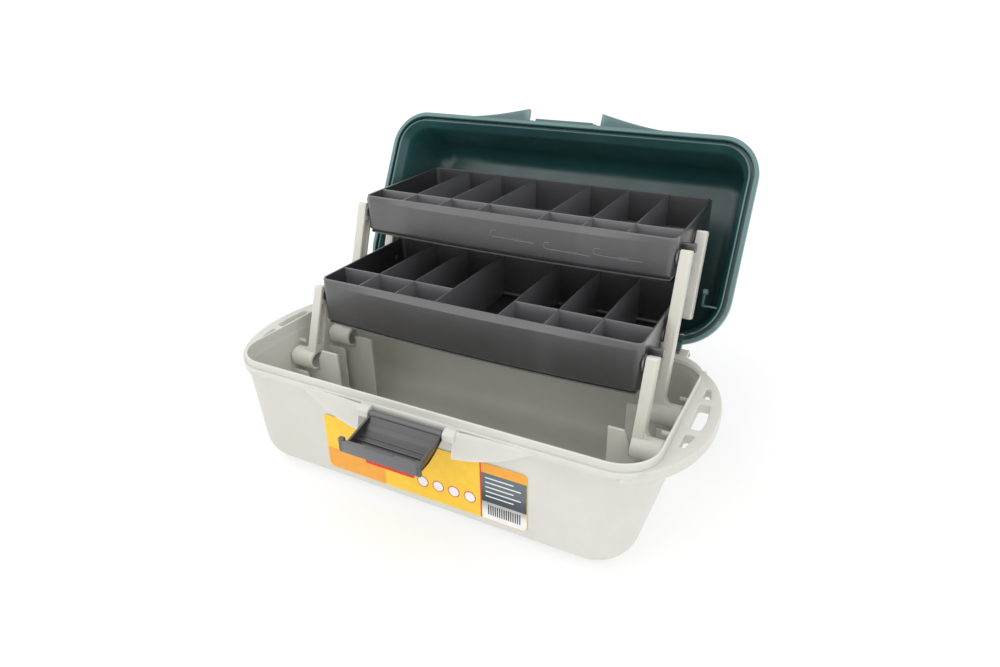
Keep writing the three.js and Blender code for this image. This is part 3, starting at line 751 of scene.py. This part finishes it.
def lid():
    body = Body()
    dome(body)
    side = Body()
    fin(side)
    peg(side)
    knuckle = soften([
        (LID["rear"] - 3, RIM_Z + 0.8), (HINGE_Y, HINGE_Z + 0.6), (HINGE_Y + 4.4, HINGE_Z - 1.5),
        (HINGE_Y + 3.5, HINGE_Z + 3), (HINGE_Y, HINGE_Z + 4.6), (LID["rear"] - 3, RIM_Z + 6.5),
    ], 1.2)
    side.plate([knuckle], 13, 0.5, at(SIDE, x=sum(HINGE_PIN) / 2))
    body.join(side)
    body.join(side.mirror())
    bar = rounded_box(LATCH_Y - 1.9, LID["front"] + 2, RIM_Z + 0.7, RIM_Z + 6.5, 1)
    body.plate([bar], 61, 0.5, at(SIDE))
    catch = soften([(LATCH_Y - 6.1, 116), (LID["front"] + 12, 114), (LID["front"] + 12, 122),
                    (LATCH_Y - 6.1, 122)], 1)
    body.plate([catch], 56, 0.5, at(SIDE))
    # the inside of the rear rim is cut back for the lower tray and the tub's lip
    room = Body()
    room.plate([[(LID["rear"] - 16, RIM_Z - 2), (LID["rear"] - 3.5, RIM_Z - 2),
                 (LID["rear"] - 3.5, RIM_Z + 6.7), (LID["rear"] - 10.8, 106.5),
                 (LID["rear"] - 13.5, 135), (LID["rear"] - 16, 135)]], 318, 0, at(SIDE))
    # groove all round the rim for the tub's lip
    lip_room = Body()
    wide = inset(TUB, LEDGE_WIDTH - LIP_CLEARANCE)
    narrow = inset(TUB, LEDGE_WIDTH + LIP_THICKNESS + LIP_CLEARANCE)

    def above_lip(y):
        return max(lip_top(y), RIM_Z) + 0.5

    lip_room.loft([loop(wide, RIM_Z - 1), loop(wide, above_lip), loop(narrow, above_lip),
                   loop(narrow, RIM_Z - 1), loop(wide, RIM_Z - 1)], cap=False)
    for part in (body, room, lip_room):
        open_lid(part)
    body.piece("lid", GREEN, "lid", "green_plastic", ["lid_shell"], cutters=[room, lip_room])


# ---- trays ----------------------------------------------------------------------------------
def tray(name, size, deep_centre, pins):
    """One tray with its dividers, arm stops and pin collars."""
    full = dict(half=TRAY_HALF, front=size["front"], rear=size["rear"], radius=TRAY_RADIUS,
                bow=TRAY_BOW)
    b, t = size["bottom"], size["top"]

    def at_z(d, z, front=None, bow=None):
        shape = inset(full, d)
        if front is not None:
            shape["front"] = full["front"] + front
        if bow is not None:
            shape["bow"] = bow
        return loop(shape, z, steps=6, fill=24)

    floor = b + TRAY_WALL
    body = Body()
    body.loft([
        at_z(3.6, b + 0.4, 1.8), at_z(3.4, b, 1.4), at_z(3.0, b + 0.5, 0.6), at_z(2.6, b + 1.2, 0.4),
        at_z(2.6, b + 1.8, 1.2), at_z(2.6, b + 2.3, 2.4), at_z(2.4, b + 2.9, 1.9),
        at_z(1.2, b + 3.5, 0.5), at_z(0.3, b + 4.2, 0.1), at_z(0, b + 5.4, 0),
        at_z(0, t - 6), at_z(0, t - 4.9), at_z(0.15, t - 4.2, bow=TRAY_BOW - 0.8),
        at_z(0.1, t - 1.2, bow=1.2), at_z(0.35, t - 0.4, bow=0.7), at_z(0.9, t, bow=0.4),
        at_z(TRAY_WALL - 0.6, t, bow=0.4), at_z(TRAY_WALL - 0.1, t - 0.4, bow=0.4),
        at_z(TRAY_WALL, t - 1.2, bow=0.4), at_z(TRAY_WALL + 0.3, floor + 4, bow=0.4),
        at_z(TRAY_WALL + 1, floor + 1.6, bow=0.4), at_z(TRAY_WALL + 2.6, floor + 0.3, bow=0.4),
        at_z(TRAY_WALL + 4, floor, bow=0.4),
    ])
    y0, y1 = size["front"] + TRAY_WALL - 0.8, size["rear"] - TRAY_WALL + 0.8
    row = size["front"] + size["row"]
    crest = t - 0.35

    def section(low, top):
        h = DIVIDER / 2
        return [(-h - 0.5, low), (h + 0.5, low), (h + 0.1, low + 3), (h, top - 0.7),
                (h * 0.6, top - 0.15), (0, top), (-h * 0.6, top - 0.15), (-h, top - 0.7),
                (-h - 0.1, low + 3)]

    shape = section(floor - 1, crest)
    for x in COLUMN_LINES:
        body.loft([[(x + u, y, z) for u, z in shape] for y in (y0, y1)])
    shape = section(floor - 1, crest - 0.1)
    spans = [(-TRAY_HALF + TRAY_WALL - 0.8, TRAY_HALF - TRAY_WALL + 0.8)]
    if deep_centre:
        spans = [(spans[0][0], COLUMN_LINES[2] + 0.6), (COLUMN_LINES[3] - 0.6, spans[0][1])]
    for x0, x1 in spans:
        body.loft([[(x, row + u, z) for u, z in shape] for x in (x0, x1)])
    stop_y, stop_z = pins[0][0] + 10.4, pins[0][1] + 2
    side = Body()
    side.plate([rounded_box(stop_y, stop_y + 4.6, stop_z, stop_z + 7, 0.8)], 12.5, 0.5,
               at(SIDE, x=TRAY_HALF + 5.2))
    for y, z in pins:
        side.lathe([(TRAY_HALF - 0.5, 2.9), (TRAY_HALF - 0.5, 6.2), (TRAY_HALF + 0.6, 6.2),
                    (TRAY_HALF + 1, 5.8), (TRAY_HALF + 1, 2.9)], y, z, 28)
    body.join(side)
    body.join(side.mirror())
    body.piece(name + "_moulding", CHARCOAL, name, "charcoal_plastic", [name])


# ---- linkage --------------------------------------------------------------------------------
def arm_bar(low, high):
    """A flat arm with rounded edges and a channel down the side that faces the tray."""
    half = ARM_WIDTH / 2
    body = Body()
    body.plate([rounded_box(-half, half, low, high, 2.6)], ARM_THICKNESS, 0.9,
               at(SIDE, x=ARM_X + ARM_THICKNESS / 2))
    channel = Body()
    channel.box(ARM_X - 1, ARM_X + 5, -3.6, 3.6, low + 16, high - 2 * ARM_END - 3)
    return body, channel


def arm(name, reach, pins, y, z, body_name, boss=True):
    """Right and left arm: the bar, its pin holes and, at the tub, its hollow boss."""
    shaft, channel = arm_bar(0 if boss else -ARM_END, reach + ARM_END)
    holes = []
    for height in pins:
        hole = Body()
        hole.lathe([(ARM_X - 1, 0), (ARM_X - 1, 2.8), (ARM_X + 6, 2.8), (ARM_X + 6, 0)],
                   0, height, 20)
        holes.append(hole)
    if boss:
        outer = ARM_X + ARM_THICKNESS
        shaft.lathe([
            (ARM_X + 0.9, SPIGOT_RADIUS + 0.3), (ARM_X + 0.3, SPIGOT_RADIUS + 0.9),
            (ARM_X + 0.3, BOSS_RADIUS - 0.9), (ARM_X + 1.2, BOSS_RADIUS), (outer, BOSS_RADIUS),
            (BOSS_END_X - 0.8, BOSS_RADIUS), (BOSS_END_X, BOSS_RADIUS - 0.8),
            (BOSS_END_X, SPIGOT_RADIUS + 0.8), (BOSS_END_X - 0.6, SPIGOT_RADIUS + 0.3),
        ], 0, 0, 48)
        # web that softens the corner between the arm and its boss
        web = []
        for k in range(9):
            t = k / 8
            rise = 6.5 * (1 - t) ** 2.2
            web.append((outer - 0.4 + 6 * t, BOSS_RADIUS - 1.2 + rise))
        web += [(outer + 5.6, 8), (outer - 0.4, 8)]
        shaft.plate([web], ARM_WIDTH - 1.2, 0.8, at(FACE))
        bore = Body()
        bore_radius = SPIGOT_RADIUS + 0.3
        bore.lathe([(ARM_X - 1, 0), (ARM_X - 1, bore_radius), (outer + 7, bore_radius),
                    (outer + 7, 0)], 0, 0, 48)
        holes.append(bore)
    for side, hand in ((1, "right"), (-1, "left")):
        parts = []
        for source in [shaft, channel] + holes:
            copy = Body()
            copy.join(source)
            copy.turned(0, 0, -LEAN).moved(y, z)
            parts.append(copy if side > 0 else copy.mirror())
        parts[0].piece(f"{name}_{hand}_moulding", ARM_IVORY, body_name, "ivory_plastic",
                       [f"{name}_{hand}"], cutters=parts[1:])


def pins(name, y, z, body_name):
    """Right and left snap pin that holds an arm to a tray's end."""
    inner = TRAY_HALF - TRAY_WALL
    for side, hand in ((1, "right"), (-1, "left")):
        body = Body()
        body.lathe([(inner - 2.2, 0), (inner - 2.2, 1.8), (inner - 1.8, 2.6), (inner - 1.1, 3.2),
                    (inner - 0.4, 3.2), (inner - 0.4, 2.5), (ARM_X + 4.8, 2.5), (ARM_X + 5.6, 1.8),
                    (ARM_X + 5.6, 0)], y, z, 24)
        made = body if side > 0 else body.mirror()
        made.piece(f"{name}_{hand}_snap", PIN_DARK, body_name, "charcoal_plastic",
                   [f"{name}_{hand}"])


# ---- latch ----------------------------------------------------------------------------------
def curve_points(a, c, b, steps):
    """Points along the curve from a to b that bends toward c."""
    out = []
    for k in range(steps + 1):
        t = k / steps
        out.append(tuple((1 - t) ** 2 * p + 2 * t * (1 - t) * q + t * t * r
                         for p, q, r in zip(a, c, b)))
    return out


def latch():
    """Scoop-shaped flap with its barrel, turned-up lip, cheeks and ribs."""
    y, z = LATCH_Y, LATCH_Z
    low, end, sheet = z - LATCH_SAG, y - LATCH_REACH, LATCH_SHEET
    under = curve_points((y + 1, z - 3), (y - 14, low + 0.6), (y - 28, low), 14)
    over = curve_points((y - 28, low + sheet), (y - 14, low + 3.4), (y, z + 2.6), 14)
    profile = under + [(end + 1.2, low), (end + 0.3, low + 0.4), (end, low + 1.2), (end, z - 3),
                       (end + 0.5, z - 2.5), (end + sheet - 0.5, z - 2.5), (end + sheet, z - 3),
                       (end + sheet, low + sheet)] + over
    body = Body()
    body.plate([profile], 2 * LATCH_HALF, 0.35, at(SIDE))
    body.lathe([(-LATCH_HALF, 1.8), (-LATCH_HALF, 2.8), (-LATCH_HALF + 0.4, 3.2),
                (LATCH_HALF - 0.4, 3.2), (LATCH_HALF, 2.8), (LATCH_HALF, 1.8)], y, z, 28)
    lip = rounded_box(-36.5, 36.5, low + 0.1, z - 2.6, 1.2)
    body.plate([lip], sheet - 0.2, 0.5, at(FACE, y=end + sheet / 2 - 0.05))
    for side in (-1, 1):
        body.plate([rounded_box(side * 34 - 2.5, side * 34 + 2.5, z - 6, z - 0.8, 1.2)], 3.2, 0.6,
                   at(FACE, y=end + 1.7))
    tab = rounded_box(-12, 13, z - 5, z - 1.5, 0.6)
    body.plate([tab], sheet - 0.4, 0.4, at(FACE, y=end + sheet / 2))
    cheek = soften([(y, z + 1), (y - 2, z - 3), (y - 20, low + 0.8), (y - 35, low + 0.8),
                    (y - 35, low + 6.5)], 1)
    for x in (-LATCH_HALF + 1, LATCH_HALF - 1):
        body.plate([cheek], 2, 0.35, at(SIDE, x=x))
    # crosswise stiffening ribs and the raised strip
    for d in (17.5, 22.5, 27.5):
        foot = low + 1.2 + 6 * max(0, 1 - d / 20)
        body.plate([[(y - d - 0.6, foot), (y - d + 0.6, foot), (y - d + 0.45, foot + 3.2),
                     (y - d - 0.45, foot + 3.2)]], 2 * LATCH_HALF - 3, 0.2, at(SIDE))
    strip = [(y - 13.5, z - 9.6), (y - 12.6, z - 6.2), (y - 8.2, z - 3.2), (y - 6.6, z - 6.5)]
    body.plate([soften(strip, 0.7)], 2 * LATCH_HALF - 4.5, 0.4, at(SIDE))
    body.piece("latch_scoop", LATCH_DARK, "latch", "charcoal_plastic", ["latch_flap"])


def body_of(node):
    return frame["nodes"][node]["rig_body"]


def rod(name, radius, x0, x1, y, z, node):
    body = Body()
    body.lathe([(x0, 0), (x0, radius - 0.3), (x0 + 0.3, radius), (x1 - 0.3, radius),
                (x1, radius - 0.3), (x1, 0)], y, z, 24)
    body.piece(name, STEEL, body_of(node), "steel_pin", [node])


# ---- label ----------------------------------------------------------------------------------
def label():
    """Printed sheet: plain fields of colour, four blank discs and a striped corner."""
    inks = [printed("print_yellow", srgb(248, 200, 50)), printed("print_orange", srgb(240, 164, 50)),
            printed("print_grey", srgb(98, 110, 116)), printed("print_white", srgb(238, 238, 236)),
            printed("print_red", srgb(214, 44, 40)), printed("print_black", srgb(38, 38, 38))]
    yellow, orange, grey, white, red, black = range(len(inks))
    x0, x1, z0, z1 = (LABEL[k] for k in ("x0", "x1", "z0", "z1"))
    split, lift, corner = LABEL_SPLIT_X, 0.06, 3.5
    sheet = Body()

    def flat(points, height, ink):
        """A thin shape laid on the tub's leaning front wall."""
        layer = Body()
        layer.plate([points], 0.3, 0, at(FACE), mark=ink)
        for v in layer.verts:
            v.y += tub_wall(v.z)["front"] - 0.47 - height
        sheet.join(layer)

    flat(rounded_box(x0, x1, z0, z1, 4), 0, yellow)
    flat(soften([(x0 + 0.3, z0 + 3.5), (x0 + 4, z0 + 0.3), (-28, z0 + 0.3), (-28, 33), (-31, 37),
                 (-36, 38), (x0 + 0.3, 41)], 2), lift, orange)
    edge, top, foot, upper_join, lower_join = x1 - 0.3, z1 - 0.3, z0 + 0.3, 64.8, 37.6
    flat([(split, upper_join), (edge, upper_join), (edge, top - corner),
          (edge - corner * 0.3, top - corner * 0.3), (edge - corner, top), (split, top)], lift, orange)
    flat([(split, lower_join), (edge, lower_join), (edge, upper_join), (split, upper_join)], lift, grey)
    flat([(split, foot), (edge - corner, foot), (edge - corner * 0.3, foot + corner * 0.3),
          (edge, foot + corner), (edge, lower_join), (split, lower_join)], lift, white)
    flat(rounded_box(split - 0.6, split + 0.6, z0 + 0.4, z1 - 0.4, 0.2), lift + 0.08, red)
    flat(rounded_box(-47.5, 1, 36.2, 41, 2.3), lift + 0.05, red)
    for x in (8.8, 23.2, 37.5, 52):
        for radius, ink, up in ((5.3, red, 0.02), (4.5, white, 0.1)):
            flat([(x + radius * math.cos(a), 36.5 + radius * math.sin(a))
                  for a in (2 * math.pi * k / 28 for k in range(28))], lift + up, ink)
    pitch, stripe = 1.9, 0.95
    for k in range(15):
        x = split + 6 + pitch * k
        flat([(x, 25.5), (x + stripe, 25.5), (x + stripe, 35), (x, 35)], lift + 0.08, black)
    for k in range(5):
        z, length = 60.5 - 4.3 * k, 34 if k % 2 else 28
        flat(rounded_box(split + 4, split + length, z - 0.5, z + 0.5, 0.4), lift + 0.08, white)
    sheet.piece("label_print", inks, "base", "label_print", ["front_label"])


# ---- fish-hook relief on the upper tray -----------------------------------------------------
def relief():
    """Thin moulded lines: three plain hooks with their lines, on the tray's bowed front."""
    def on_front(x):
        u = x / (TRAY_HALF - TRAY_RADIUS)
        return UPPER["front"] - TRAY_BOW * max(0, 1 - u * u)

    body = Body()

    def stroke(points, width):
        path = [Vector(p) for p in points]
        loops = []
        for i, p in enumerate(path):
            a, b = path[max(i - 1, 0)], path[min(i + 1, len(path) - 1)]
            along = (b - a).normalized()
            across = Vector((-along.y, along.x)) * width / 2
            y = on_front(p.x)
            left, right = p + across, p - across
            loops.append([(left.x, y + 0.4, left.y), (left.x, y - 0.12, left.y),
                          (p.x, y - 0.32, p.y), (right.x, y - 0.12, right.y),
                          (right.x, y + 0.4, right.y)])
        body.loft(loops)

    for cx, z in HOOKS:
        hook = [(cx - 13, z + 3.4), (cx - 15.5, z + 3.2)]
        for k in range(9):
            a = math.radians(100 + 20 * k)
            hook.append((cx - 15.5 + 2.9 * math.cos(a), z + 0.4 + 2.9 * math.sin(a)))
        hook += [(cx - 10, z - 2.6), (cx + 12, z - 3.2), (cx + 24, z - 3.4)]
        stroke(hook, 0.9)
        coil = []
        for k in range(33):
            t = k / 32
            coil.append((cx + 4 + 8 * t, z - 3 + 1.5 * math.sin(t * math.pi * 7)))
        stroke(coil, 0.7)
    body.piece("tray_relief", CHARCOAL, "upper_tray", "charcoal_plastic")


# ---- build ----------------------------------------------------------------------------------
tub()
label()
lid()
along = Vector((math.sin(LEAN), math.cos(LEAN))) * ARM_REACH
front_pin = (FRONT_PIVOT_Y + along.x, PIVOT_Z + along.y)
mid_pin = (REAR_PIVOT_Y + along.x, PIVOT_Z + along.y)
rear_pin = (mid_pin[0] + LINK_SPACING, mid_pin[1])
top_pin = (mid_pin[0] + along.x, mid_pin[1] + along.y)
link_pin = (top_pin[0] + LINK_SPACING, top_pin[1])
tray("lower_tray", LOWER, True, [front_pin, mid_pin, rear_pin])
tray("upper_tray", UPPER, False, [top_pin, link_pin])
relief()
arm("front_arm", ARM_REACH, [ARM_REACH], FRONT_PIVOT_Y, PIVOT_Z, "front_arms")
arm("rear_arm", 2 * ARM_REACH, [ARM_REACH, 2 * ARM_REACH], REAR_PIVOT_Y, PIVOT_Z, "rear_arms")
arm("rear_link", ARM_REACH, [0, ARM_REACH], rear_pin[0], rear_pin[1], "rear_links", boss=False)
for pin_name, place in (("front_arm_pin", front_pin), ("rear_arm_mid_pin", mid_pin),
                        ("rear_arm_top_pin", top_pin), ("link_lower_pin", rear_pin),
                        ("link_upper_pin", link_pin)):
    pins(pin_name, *place, body_of(pin_name + "_right"))
latch()
for side, hand in ((1, "right"), (-1, "left")):
    x0, x1 = sorted(side * x for x in HINGE_PIN)
    rod("hinge_rod_" + hand, 1.8, x0, x1, HINGE_Y, HINGE_Z, "lid_hinge_pin_" + hand)
rod("latch_rod", 1.4, -LATCH_PIN_HALF, LATCH_PIN_HALF, LATCH_Y, LATCH_Z, "latch_pin")


# ---- studio ---------------------------------------------------------------------------------
CAMERA_AT = (0.27283, -0.46082, 0.39181)
CAMERA_ANGLES = (27.342, 26.256, -0.4527)
CAMERA_LENS = 25.288


def camera():
    """Camera at CAMERA_AT, given by its azimuth, elevation and roll in degrees."""
    data = bpy.data.cameras.new("camera")
    data.sensor_width = 36
    data.lens = CAMERA_LENS
    data.clip_start = 0.01
    eye = bpy.data.objects.new("camera", data)
    bpy.context.scene.collection.objects.link(eye)
    azimuth, elevation, roll = (math.radians(d) for d in CAMERA_ANGLES)
    level = math.cos(elevation)
    back = Vector((math.sin(azimuth) * level, -math.cos(azimuth) * level, math.sin(elevation)))
    right = Vector((math.cos(azimuth), math.sin(azimuth), 0))
    up = back.cross(right)
    rolled_right = right * math.cos(roll) + up * math.sin(roll)
    rolled_up = up * math.cos(roll) - right * math.sin(roll)
    pose = Matrix((rolled_right, rolled_up, back)).transposed().to_4x4()
    pose.translation = Vector(CAMERA_AT)
    eye.matrix_world = pose
    bpy.context.scene.camera = eye


def softbox(name, size, power, place, target=(0, 0, 0.1)):
    data = bpy.data.lights.new(name, "AREA")
    data.shape = "RECTANGLE"
    data.size, data.size_y = size
    data.energy = power
    lamp = bpy.data.objects.new(name, data)
    lamp.location = place
    lamp.rotation_euler = (Vector(target) - Vector(place)).to_track_quat("-Z", "Y").to_euler()
    bpy.context.scene.collection.objects.link(lamp)


def studio():
    """White paper floor, an even white sky and two large soft lamps."""
    mesh = bpy.data.meshes.new("floor")
    reach = 12
    corners = [(-reach, -reach, 0), (reach, -reach, 0), (reach, reach, 0), (-reach, reach, 0)]
    mesh.from_pydata(corners, [], [(0, 1, 2, 3)])
    floor = bpy.data.objects.new("floor", mesh)
    floor.location.z = -0.0006
    n = Nodes("floor_paper")
    n.shader.inputs["Base Color"].default_value = (0.5, 0.5, 0.5, 1)
    n.shader.inputs["Emission Color"].default_value = (1, 1, 1, 1)
    n.shader.inputs["Emission Strength"].default_value = 0.53
    n.shader.inputs["Roughness"].default_value = 0.9
    n.shader.inputs["Specular IOR Level"].default_value = 0.1
    mesh.materials.append(n.material)
    bpy.context.scene.collection.objects.link(floor)
    world = bpy.data.worlds.new("studio")
    world.use_nodes = True
    sky = world.node_tree.nodes["Background"]
    sky.inputs["Color"].default_value = (1, 1, 1, 1)
    sky.inputs["Strength"].default_value = 1.03
    bpy.context.scene.world = world
    softbox("key", (2.2, 2.2), 9, (-1.1, -1.3, 1.9))
    softbox("fill", (1.8, 1.4), 3, (1.7, -0.9, 1.2))
    bpy.context.scene.view_settings.view_transform = "Standard"


camera()
studio()
